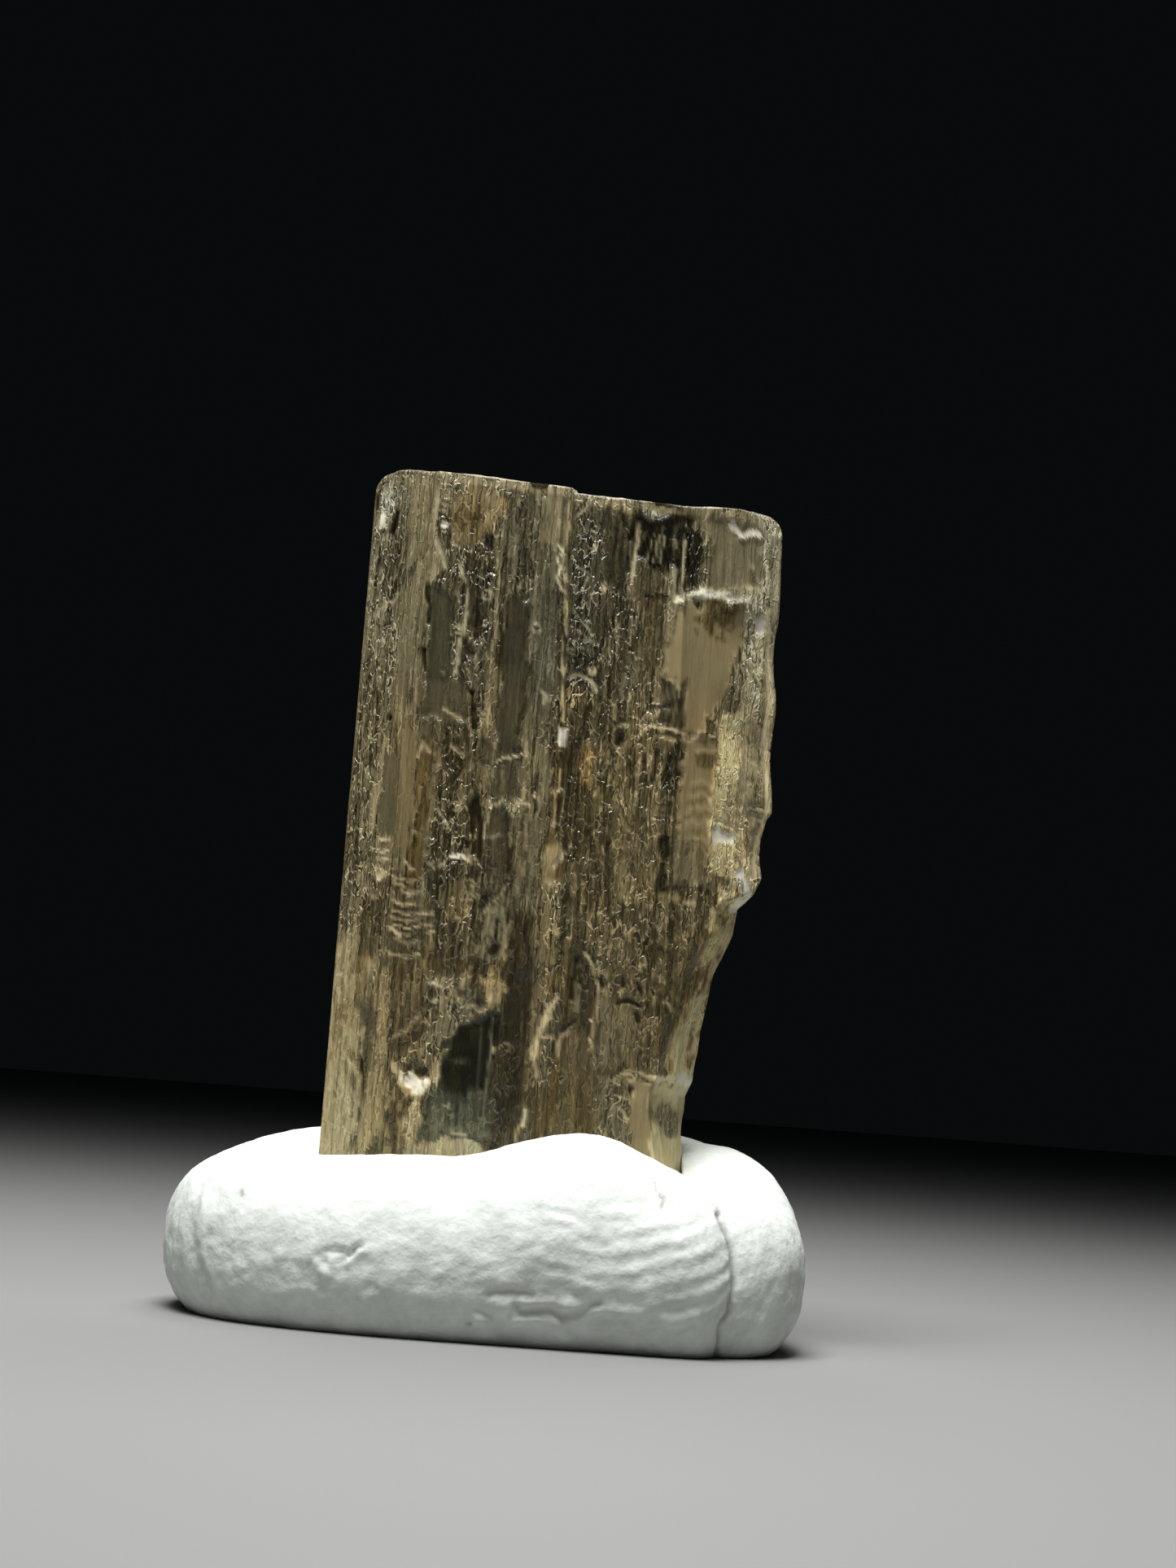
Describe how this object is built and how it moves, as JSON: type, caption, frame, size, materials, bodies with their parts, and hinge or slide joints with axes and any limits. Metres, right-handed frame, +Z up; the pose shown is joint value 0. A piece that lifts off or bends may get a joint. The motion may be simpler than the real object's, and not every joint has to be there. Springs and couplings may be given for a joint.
{
  "type": "scapolite crystal specimen in mounting putty",
  "caption": "Upright flattened prism of clear brown scapolite, striated along its length and chipped at one edge, held in a ring of hand-rolled white mounting putty.",
  "frame": {"origin": "middle of the whole specimen's box, on the surface that the putty stands on", "axes": "+Z up along the crystal's length, -Y out of the crystal's broad front face, +X to the right as seen from the front, towards the chipped edge"},
  "size_m": [0.0166, 0.0116, 0.0225],
  "materials": {
    "scapolite": "clear to hazy smoky honey-brown crystal with glassy faces, fine lengthwise striations, etched patches and inner cracks",
    "putty": "matt white hand-rolled putty with fingerprint ridges, small creases and specks"
  },
  "bodies": {
    "root": {"scapolite_crystal": "scapolite", "putty_base": "putty"}
  },
  "joints": []
}
